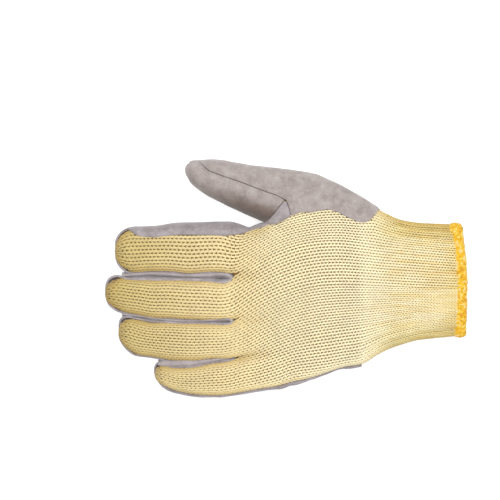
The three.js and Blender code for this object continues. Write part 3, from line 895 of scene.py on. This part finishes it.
def courses(cloth, grid, wales, low_x=-math.inf, high_x=math.inf, tip=-math.inf, furrows=(), thickness=1.0):
    """The yarn of each course in a grid between two values of X, as tubes."""
    normals = grid_normals(grid)
    width = np.linalg.norm(np.diff(grid, axis=1), axis=2).sum(axis=1) / wales
    t = np.arange(wales * LOOP_SAMPLES + 1) * 2 * math.pi / LOOP_SAMPLES
    u = (t / (2 * math.pi) + LOOP_SWING * np.sin(2 * t)) * STEPS_PER_WALE
    tubes = []
    for row in range(len(grid)):
        x = grid[row, :, 0].mean()
        if not low_x <= x < high_x:
            continue
        v = row - LOOP_REACH * np.cos(t)
        depth = LOOP_LIFT - LOOP_DEPTH * np.cos(2 * t)
        depth = depth + TIP_LIFT * (1 - smoothstep(0, TIP_LIFT_LENGTH, x - tip))
        for furrow in furrows:
            depth = depth - furrow_depth(furrow, u / STEPS_PER_WALE, x)
        normal = unit(at_grid(normals, v, u))
        path = at_grid(grid, v, u) + normal * depth[:, None]
        area = float(along_photo(COURSE_PITCH, x)) * width[row] / MM / YARN_AT_AREA
        radius = thickness * YARN_RADIUS * float(np.clip(area, *YARN_AREA_RANGE)) ** 0.5
        radius *= 1 + TIP_YARN * (1 - smoothstep(0, TIP_YARN_LENGTH, x - tip))
        for start, end in runs(cloth.visible(path)):
            if end - start < SHORTEST_RUN:
                continue
            part = slice(start, end)
            up, across = frames_along(path[part], normal[part])
            tubes.append(tube(path[part], up, across, radius, YARN_SIDES))
    return merged(tubes)


def runs(mask):
    """The stretches of a row of flags that are set, as (start, end)."""
    padded = np.concatenate([[False], mask, [False]])
    change = np.flatnonzero(padded[1:] != padded[:-1])
    return list(zip(change[::2], change[1::2]))


# Strips and the hem

# Centre line of the leather strips in each space between two fingers, with the half width of each.
STRIPS = {
    "index_middle_fourchette": [
        (122, 275.6, 1.6), (135, 274.2, 2.0), (150, 273.2, 2.2), (160, 273.4, 2.2), (172, 274.4, 2.1),
        (185, 275.2, 2.1), (198, 275.3, 2.3), (208, 275, 2.5), (216, 274.2, 2.3), (224, 273.9, 2.1),
        (230, 275.4, 2.3), (232.4, 278.4, 2.4), (229.5, 281.6, 2.2), (222, 282.8, 2.0), (214, 282.2, 2.1),
        (206, 280.9, 2.3), (198, 280, 2.3), (185, 279.8, 2.2), (172, 280, 2.2), (160, 280.3, 2.3),
        (150, 280, 2.6), (135, 279.8, 2.3), (124, 278.7, 1.6),
    ],
    "middle_ring_fourchette": [
        (122, 314.2, 1.2), (135, 315.2, 1.5), (150, 317.4, 1.5), (165, 319.6, 1.4), (180, 320.9, 1.3),
        (200, 320.9, 1.3), (214, 319.8, 1.5), (222, 318.7, 1.6), (230, 319, 1.7), (233.4, 321.4, 1.7),
        (230, 324, 1.7), (222, 324.4, 1.6), (214, 323.8, 1.4), (200, 323.4, 1.1), (180, 323.2, 1.2),
        (165, 322.6, 1.4), (150, 321.2, 1.5), (135, 318.2, 1.2),
    ],
    "ring_little_fourchette": [
        (158, 363.9, 1.6), (162, 363.8, 3.2), (168, 363.4, 4.6), (175, 363.3, 4.9), (185, 363, 4.4),
        (195, 362.6, 3.8), (205, 361.2, 2.6), (215, 359.8, 2.0), (230, 357.2, 1.6), (245, 354.2, 1.2),
        (253, 352.4, 0.7),
    ],
}
STRIP_LOW = 1.6 * MM
STRIP_HIGH = 12.2 * MM
STRIP_SIDES = 10
# Pixels between two points along a strip, and how often their line is evened out.
STRIP_STEP = 1.5
STRIP_EVENING = 3
# How much wider a strip is at its foot.
STRIP_FOOT = 3.2
# The top rises where a strip turns at the crotch: over how many pixels, and how far.
STRIP_END = 14
STRIP_END_RISE = 2.2 * MM
# Unevenness of a strip's height, and of its width as a share: size, amount and seed.
STRIP_WAVES = (9 * MM, 0.5 * MM, 5.0)
STRIP_WIDTHS = (5 * MM, 0.12, 2.0)
# Middle of the hem from the thumb side to the little-finger side, in pixels.
HEM_LINE = [
    (454.6, 222), (456, 230), (458, 240), (460, 260), (461, 280), (461, 300), (460.4, 320),
    (459.4, 340),
]
HEM_RAYS = 360
HEM_POINTS = 240
HEM_INSET = 1 * MM
# Half the width of the hem along the glove, and half the thickness of its core.
HEM_HALF = 2.9 * MM
HEM_CORE_HALF = 1.5 * MM
HEM_CORE_SIDES = 12
# The threads wound over the core: their turns, and for each where it starts as a share of a turn and
# how far it is moved through the noise of its wobble and the noise of its turns.
HEM_TURNS = 104
HEM_THREADS = [(0.0, 0.0, 0.0), (0.5, 0.37, 0.61)]
HEM_TURN_SAMPLES = 14
HEM_THREAD = 0.62 * MM
HEM_THREAD_SIDES = 5
# How far a thread's middle lies out, along the glove and through the cloth, and how much it wobbles.
HEM_WIDE = HEM_HALF + 0.35 * MM
HEM_WIDE_WOBBLE = 0.5 * MM
HEM_DEEP = 1.75 * MM
HEM_DEEP_WOBBLE = 0.25 * MM
HEM_THICKNESS_WOBBLE = 0.22
HEM_TURN_WOBBLE = 0.7
# Size and seed of the two noises.
HEM_NOISE = (2.6 * MM, 1.7)
HEM_TURN_NOISE = (3.5 * MM, 6.1)
# Knobs on top of the hem: pixel down, half their width in pixels, how much core and threads swell.
HEM_KNOBS = [(230, 5), (336, 5)]
KNOB_CORE = 0.25
KNOB_THREADS = 0.3
KNOB_HEIGHT = 8 * MM


def strip(name, material):
    """A rolled leather strip standing between two fingers."""
    line = np.array(STRIPS[name])
    length = lengths_along(line[:, :2])
    at = np.linspace(0, length[-1], int(length[-1] / STRIP_STEP))
    px, py, half = (np.interp(at, length, line[:, k]) for k in range(3))
    for _ in range(STRIP_EVENING):
        for values in (px, py):
            values[1:-1] = (values[:-2] + values[2:] + 2 * values[1:-1]) / 4
    path = np.stack([*plan(px, py), np.full(len(px), (STRIP_LOW + STRIP_HIGH) / 2)], axis=1)
    size, amount, seed = STRIP_WAVES
    path[:, 2] += noise_at(path, size, seed) * amount
    end_rise = STRIP_END_RISE * smoothstep(px.max() - STRIP_END, px.max(), px)
    path[:, 2] += end_rise / 2
    up, across = frames_along(path, np.tile([0.0, 0.0, 1.0], (len(path), 1)))
    size, amount, seed = STRIP_WIDTHS
    half = half * PIXEL * (1 + amount * noise_at(path, size, seed))
    tall = (STRIP_HIGH - STRIP_LOW + end_rise) / 2
    points, triangles = tube(path, up, across, 1.0, STRIP_SIDES)
    shape = points.reshape(len(path), STRIP_SIDES, 3) - path[:, None, :]
    upward = shape[..., 2:]
    sideways = (shape * across[:, None, :]).sum(axis=2)[..., None]
    foot = 1 + STRIP_FOOT * np.clip(-upward, 0, 1)
    scaled = up[:, None, :] * upward * tall[:, None, None]
    scaled = scaled + across[:, None, :] * sideways * half[:, None, None] * foot
    return mesh_object(name + "_roll", (path[:, None, :] + scaled).reshape(-1, 3), triangles, material)


def hem(cloth, material):
    """The overlocked edge of the cuff: a soft core and threads wound over it."""
    loop, outward = hem_loop(cloth)
    knob = knobs_at(loop)
    wide = np.tile([HEM_HALF, 0, 0], (len(loop), 1))
    swell = 1 + KNOB_CORE * knob
    core = tube(loop, wide, outward * HEM_CORE_HALF, swell, HEM_CORE_SIDES, closed=True)
    threads = [hem_thread(loop, outward, knob, *thread) for thread in HEM_THREADS]
    pieces = [
        mesh_object("cuff_hem_core", *core, material),
        mesh_object("cuff_hem_threads", *merged(threads), material),
    ]
    for piece in pieces:
        low = min(v.co.z for v in piece.data.vertices)
        if low < 0:
            piece.data.transform(Matrix.Translation((0, 0, -low)))
    return pieces


def hem_loop(cloth):
    """Points round the end of the cuff, and the way outward at each."""
    centre = section_centre(plan_x(HEM_START - 1))
    hits = cloth.fan(centre, np.linspace(0, 2 * math.pi, HEM_RAYS + 1)[:-1])
    loop = resampled(np.concatenate([hits, hits[:1]]), HEM_POINTS + 1)[:-1]
    ahead = np.roll(loop, -1, axis=0) - np.roll(loop, 1, axis=0)
    outward = unit(np.cross(ahead, [1.0, 0, 0]))
    outward *= np.sign((outward * (loop - centre)).sum(axis=1, keepdims=True))
    loop[:, 0] = hem_x(loop[:, 1])
    return loop - outward * HEM_INSET, outward


def hem_thread(loop, outward, knob, start, shift, turn_shift):
    """Points and triangles of one thread wound round the hem."""
    samples = HEM_TURNS * HEM_TURN_SAMPLES
    t = np.arange(samples) / samples
    place = t * len(loop)
    i = place.astype(int)
    following = (i + 1) % len(loop)
    share = (place - i)[:, None]
    centre = loop[i] * (1 - share) + loop[following] * share
    out = unit(outward[i] * (1 - share) + outward[following] * share)
    swell = 1 + KNOB_THREADS * (knob[i] * (1 - share[:, 0]) + knob[following] * share[:, 0])
    wobble = noise_at(centre + shift, *HEM_NOISE)
    turn = 2 * math.pi * (t * HEM_TURNS + start)
    turn = turn + HEM_TURN_WOBBLE * noise_at(centre + turn_shift, *HEM_TURN_NOISE)
    wide = (HEM_WIDE + HEM_WIDE_WOBBLE * wobble) * swell
    deep = (HEM_DEEP + HEM_DEEP_WOBBLE * wobble) * swell
    path = centre + out * (np.sin(turn) * deep)[:, None]
    path[:, 0] += np.cos(turn) * wide
    up, side = frames_along(path, path - centre, closed=True)
    radius = HEM_THREAD * (1 + HEM_THICKNESS_WOBBLE * wobble)
    return tube(path, up, side, radius, HEM_THREAD_SIDES, closed=True)


def hem_x(y):
    """X of the hem's middle line at plan places y."""
    line = plan_line(HEM_LINE)[::-1]
    return np.interp(y, line[:, 1], line[:, 0])


def knobs_at(points):
    """How much of a knob there is at points of the hem, from 0 to 1."""
    total = np.zeros(len(points))
    for py, half in HEM_KNOBS:
        total += np.exp(-(((points[:, 1] - plan_y(py)) / (half * PIXEL)) ** 2))
    return total * (points[:, 2] > KNOB_HEIGHT)


# Materials


def colour(red, green, blue):
    """A colour as seen on a screen, from 0 to 255, turned into Blender's own numbers."""
    shares = [value / 255 for value in (red, green, blue)]
    linear = [c / 12.92 if c < 0.04045 else ((c + 0.055) / 1.055) ** 2.4 for c in shares]
    return (*linear, 1.0)


# Suede from its darkest patches to its lightest.
PALM_SHADES = colour(137, 128, 128), colour(157, 148, 150), colour(173, 165, 170)
STRIP_SHADES = colour(148, 139, 139), colour(168, 159, 161), colour(184, 176, 180)
THUMB_SHADES = colour(142, 131, 127), colour(163, 152, 148), colour(175, 166, 163)
# What the hide's colour is multiplied by, from a tint of 0 to a tint of 1: the tint is painted shade.
TINT_PAINTED_SHADES = [(0.0, colour(0, 0, 0)), (0.45, colour(168, 154, 143)), (1.0, colour(255, 255, 255))]
# The knit: pixel across the photograph, and colour. Toward the fingertips it is darker and more mustard,
# partly the denser knit there and partly painted shade where the tips turn away from the light.
KNIT_COLOURS_AND_SHADE = [
    (105, colour(204, 181, 108)), (140, colour(220, 199, 135)), (200, colour(235, 215, 161)),
    (240, colour(248, 229, 176)), (280, colour(255, 241, 197)), (360, colour(253, 242, 205)),
    (440, colour(250, 235, 189)), (460, colour(242, 222, 154)),
]
# The body under the loops: pixel across the photograph, and colour; it is dark as painted shade in the holes
# between the loops.
SHADE_CORE_COLOURS = [
    (100, colour(196, 166, 92)), (112, colour(176, 144, 74)), (130, colour(150, 114, 52)),
    (200, colour(158, 120, 62)), (300, colour(152, 119, 66)), (460, colour(186, 156, 100)),
]
# Painted shade: the knit is darker and more mustard toward its sides, where they turn away from the
# light, between two heights.
SIDE_SHADE_HEIGHTS = (9 * MM, 17 * MM)
SIDE_PAINTED_SHADE = [(0.0, colour(214, 198, 160)), (0.5, colour(236, 228, 208)), (1.0, colour(255, 255, 255))]
# Painted shade: the cuff is darker and more mustard along its two edges, where they turn away from the
# light: pixel down the photograph, and share of the colour.
CUFF_EDGE_PAINTED_SHADE = [
    (344, colour(236, 236, 214)), (334, colour(246, 248, 236)), (318, colour(255, 255, 255)),
    (246, colour(255, 255, 255)), (232, colour(240, 235, 202)), (216, colour(234, 227, 188)),
]
# The cuff's colour also runs in faint ribs, from noise that is drawn out along the glove. The cuff's
# own colouring sets in between two pixels across.
RIB_SIZE = 2.8 * MM
RIB_STRETCH = 0.12
RIB_TINT = [(0.36, colour(248, 240, 216)), (0.6, colour(255, 255, 255))]
CUFF_COLOUR_START = (362, 400)
# The hem's yarn is dyed in patches.
HEM_SHADES = [
    (0.3, colour(212, 148, 34)), (0.44, colour(238, 184, 20)), (0.54, colour(246, 200, 46)),
    (0.62, colour(250, 224, 140)), (0.72, colour(240, 204, 168)),
]


class Shader:
    """A material under construction."""

    def __init__(self, name):
        self.material = bpy.data.materials.new(name)
        self.material.use_nodes = True
        self.tree = self.material.node_tree
        self.principled = self.tree.nodes["Principled BSDF"]
        self.place = self.tree.nodes.new("ShaderNodeTexCoord").outputs["Object"]

    def set(self, node, values):
        """Sets or links a node's inputs, by name or number."""
        for key, value in values.items():
            socket = node.inputs[key]
            if isinstance(value, bpy.types.NodeSocket):
                self.tree.links.new(value, socket)
            else:
                socket.default_value = value

    def node(self, kind, settings=None, **values):
        node = self.tree.nodes.new(kind)
        for key, value in (settings or {}).items():
            setattr(node, key, value)
        self.set(node, {key.replace("_", " "): value for key, value in values.items()})
        return node

    def noise(self, size, detail=3.0, roughness=0.5, place=None):
        node = self.node(
            "ShaderNodeTexNoise", Vector=place or self.place, Scale=1 / size, Detail=detail,
            Roughness=roughness,
        )
        return node.outputs["Fac"]

    def ramp(self, value, stops):
        """Colours or greys along a value: rows of (place, colour)."""
        node = self.tree.nodes.new("ShaderNodeValToRGB")
        elements = node.color_ramp.elements
        while len(elements) < len(stops):
            elements.new(0.5)
        for element, (place, shade) in zip(elements, stops):
            element.position = place
            element.color = shade if hasattr(shade, "__len__") else (shade, shade, shade, 1.0)
        self.tree.links.new(value, node.inputs["Fac"])
        return node.outputs["Color"]

    def stretch(self, value, low, high):
        """A value between low and high as one between 0 and 1."""
        node = self.node("ShaderNodeMapRange", Value=value, From_Min=low, From_Max=high)
        return node.outputs["Result"]

    def mix(self, first, second, share, blend="MIX"):
        node = self.node("ShaderNodeMix", {"data_type": "RGBA", "blend_type": blend})
        self.set(node, {0: share, 6: first, 7: second})
        return node.outputs[2]

    def times(self, first, *others):
        """Colours multiplied with each other."""
        for other in others:
            first = self.mix(first, other, 1.0, "MULTIPLY")
        return first

    def part(self, axis):
        """X, Y or Z of the place being shaded."""
        node = self.node("ShaderNodeSeparateXYZ")
        self.set(node, {0: self.place})
        return node.outputs[axis]

    def along(self, axis, stops):
        """Colours along X or Y: rows of (pixel of the photograph, colour), from low X or Y to high."""
        low, high = stops[0][0], stops[-1][0]
        value = self.stretch(self.part(axis), plan(low, low)[axis], plan(high, high)[axis])
        return self.ramp(value, [((pixel - low) / (high - low), shade) for pixel, shade in stops])

    def bump(self, height, distance, strength=1.0, below=None):
        node = self.node("ShaderNodeBump", Height=height, Distance=distance, Strength=strength)
        if below:
            self.set(node, {"Normal": below})
        return node.outputs["Normal"]

    def finish(self, **values):
        self.set(self.principled, {key.replace("_", " "): value for key, value in values.items()})
        return self.material


def yarn_material(name, stops, fuzz=0.12 * MM):
    """Yarn whose colour runs along the glove: rows of (pixel across the photograph, colour). Painted shade
    darkens it toward its sides and along the cuff's edges.
    """
    s = Shader(name)
    blotch = s.ramp(s.noise(9 * MM), [(0.35, 0.93), (0.65, 1.0)])
    fleck = s.ramp(s.noise(0.9 * MM), [(0.3, 0.82), (0.7, 1.0)])
    # Painted shade toward the sides, by height.
    side = s.ramp(s.stretch(s.part(2), *SIDE_SHADE_HEIGHTS), SIDE_PAINTED_SHADE)
    shade = s.times(s.along(0, stops), blotch, fleck, side)
    drawn_out = s.node("ShaderNodeVectorMath", {"operation": "MULTIPLY"})
    s.set(drawn_out, {0: s.place, 1: (RIB_STRETCH, 1.0, 1.0)})
    ribs = s.ramp(s.noise(RIB_SIZE, 2.0, place=drawn_out.outputs["Vector"]), RIB_TINT)
    # Painted shade along the cuff's edges, times its ribs.
    cuff = s.times(s.along(1, CUFF_EDGE_PAINTED_SHADE), ribs)
    on_cuff = s.stretch(s.part(0), *(plan_x(px) for px in CUFF_COLOUR_START))
    shade = s.mix(shade, s.times(shade, cuff), on_cuff)
    normal = s.bump(s.noise(0.45 * MM, 2.0), fuzz)
    return s.finish(Base_Color=shade, Roughness=0.9, Sheen_Weight=0.25, Sheen_Roughness=0.5, Normal=normal)


def hem_material(name):
    s = Shader(name)
    fleck = s.ramp(s.noise(0.8 * MM), [(0.3, 0.7), (0.7, 1.0)])
    shade = s.times(s.ramp(s.noise(2.4 * MM, 2.0), HEM_SHADES), fleck)
    normal = s.bump(s.noise(0.4 * MM, 2.0), 0.15 * MM)
    return s.finish(Base_Color=shade, Roughness=0.85, Sheen_Weight=0.2, Normal=normal)


def suede_material(name, dark, middle, light, tinted=True):
    """Napped hide. Tinted, it is darkened by the painted shade that the mesh carries as its tint."""
    s = Shader(name)
    base = s.ramp(s.noise(7 * MM, 5.0, 0.65), [(0.3, dark), (0.5, middle), (0.68, light)])
    nap = s.ramp(s.noise(1.3 * MM, 4.0, 0.65), [(0.3, 0.84), (0.62, 1.0)])
    shade = s.times(base, nap)
    if tinted:
        tint = s.node("ShaderNodeAttribute", {"attribute_name": "tint"}).outputs["Fac"]
        shade = s.times(shade, s.ramp(tint, TINT_PAINTED_SHADES))
    fine = s.bump(s.noise(0.7 * MM, 4.0, 0.7), 0.25 * MM)
    normal = s.bump(s.noise(4 * MM, 3.0), 0.5 * MM, 0.6, below=fine)
    return s.finish(Base_Color=shade, Roughness=0.95, Sheen_Weight=0.3, Sheen_Roughness=0.6, Normal=normal)


def floor_material():
    """White with a little light of its own, so that it stays white under the glove's soft shadow."""
    s = Shader("floor")
    grey = (FLOOR_GREY, FLOOR_GREY, FLOOR_GREY, 1)
    return s.finish(
        Base_Color=grey, Roughness=1.0, Emission_Color=(1, 1, 1, 1), Emission_Strength=FLOOR_GLOW
    )


# The scene


def clear_scene():
    for piece in list(bpy.data.objects):
        bpy.data.objects.remove(piece)


def knit_shade_core(skin, material):
    """The body of the knit under its loops, coloured as painted shade for the holes between them, as a
    closed shell that is open at the wrist.
    """
    points, triangles, normals = skin
    points, triangles, normals = cut(points, triangles, hem_x(points[:, 1]) - points[:, 0], normals)
    normals = unit(normals)
    outer = points - normals * CORE_DEPTH
    inner = points - normals * (CORE_DEPTH + CORE_WALL)
    return shell("knit_shade_core", outer, inner, triangles, material)


def place_piece(piece, slot, *nodes):
    """Puts a finished piece on the body, in place of nodes of the frame if any. Its slot is not used."""
    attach(piece, BODY)
    if nodes:
        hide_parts(*nodes)


def add_leather(skin, leather):
    """The panels and the strips between the fingers."""
    points, _, normals = skin
    palm_leather = suede_material("palm_suede", *PALM_SHADES)
    strip_leather = suede_material("strip_suede", *STRIP_SHADES, tinted=False)
    thumb_leather = suede_material("thumb_suede", *THUMB_SHADES)
    rise = leather_rise(points, normals)
    # Painted shade on the hide, carried as its tint.
    tint = leather_painted_shade(points)
    for name in LEATHER_NODES:
        on_thumb = name.startswith("thumb")
        material = thumb_leather if on_thumb else palm_leather
        piece = leather_sheet(name + "_hide", skin, leather.of(name), rise, tint, material)
        place_piece(piece, "thumb_leather" if on_thumb else "palm_leather", name)
    for name in STRIPS:
        place_piece(strip(name, strip_leather), "palm_leather", name)


def add_knit(skin, leather):
    """The body of the knit and the loops over it."""
    points, triangles, _ = skin
    knit_yarn = yarn_material("knit_yarn", KNIT_COLOURS_AND_SHADE)
    # The body under the loops is painted shade for the holes between them.
    shade_core_yarn = yarn_material("knit_shade_core_yarn", SHADE_CORE_COLOURS, 0.3 * MM)
    place_piece(knit_shade_core(skin, shade_core_yarn), "knit_yarn", *KNIT_NODES)
    cloth = Cloth(points, triangles, leather.field)
    places = course_places()
    wrist = plan_x(HAND_END)
    loops = []
    hand_parts = []
    cuff_parts = []
    for number, finger in enumerate(FINGERS):
        grid, tip = finger_rows(cloth, number, places)
        grid = settled(grid)
        wales = finger["wales"]
        crotch = plan_x(finger["end"])
        furrows = finger["furrows"]
        own = courses(cloth, grid, wales, high_x=crotch, tip=tip, thickness=finger["yarn"])
        loops.append(("knit_" + finger["name"] + "_loops", own))
        hand_parts.append(courses(cloth, grid, wales, crotch, wrist, furrows=furrows, thickness=HAND_YARN))
        cuff_parts.append(courses(cloth, grid, wales, wrist, furrows=furrows, thickness=CUFF_YARN))
    under = settled(under_rows(cloth, places))
    loops += [
        ("knit_hand_loops", merged(hand_parts)),
        ("knit_cuff_loops", merged(cuff_parts)),
        ("knit_cuff_under_loops", courses(cloth, under, UNDER_WALES)),
    ]
    for name, tubes in loops:
        place_piece(mesh_object(name, *tubes, knit_yarn), "knit_yarn")
    core, threads = hem(cloth, hem_material("hem_yarn"))
    place_piece(core, "hem_yarn", "cuff_hem")
    place_piece(threads, "hem_yarn")


def add_floor():
    half = FLOOR_HALF
    corners = [(-half, -half, 0), (half, -half, 0), (half, half, 0), (-half, half, 0)]
    floor = mesh_object("floor", corners, [(0, 1, 2, 3)], floor_material(), smooth=False)


def camera_and_lights():
    """A camera straight above, a light nearly overhead and a weak one from the fingertips' side."""
    scene = bpy.context.scene
    centre = plan(*PHOTO_CENTRE_PX)
    distance = PHOTO_SIZE_PX * PIXEL * LENS_MM / SENSOR_MM
    data = bpy.data.cameras.new("camera")
    data.lens = LENS_MM
    data.sensor_width = SENSOR_MM
    data.clip_end = FAR_CLIP
    scene.camera = linked("camera", data)
    scene.camera.location = (*centre, FOCUS_HEIGHT + distance)
    for name, way, size, watts in LIGHTS:
        lamp = bpy.data.lights.new(name, "AREA")
        lamp.shape = "DISK"
        lamp.size = size
        lamp.energy = watts
        light = linked(name, lamp)
        light.location = Vector(way).normalized() * LIGHT_DISTANCE + Vector((*centre, 0))
        light.rotation_euler = Vector(way).to_track_quat("Z", "Y").to_euler()
    world = bpy.data.worlds.new("world")
    world.use_nodes = True
    background = world.node_tree.nodes["Background"]
    background.inputs["Color"].default_value = (1, 1, 1, 1)
    background.inputs["Strength"].default_value = SKY_STRENGTH
    scene.world = world
    scene.view_settings.view_transform = "Standard"
    scene.view_settings.look = "None"


def main():
    clear_scene()
    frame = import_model()
    skin = make_skin(frame)
    leather = LeatherPlan(frame, skin[0], skin[1])
    add_leather(skin, leather)
    add_knit(skin, leather)
    add_floor()
    camera_and_lights()


main()
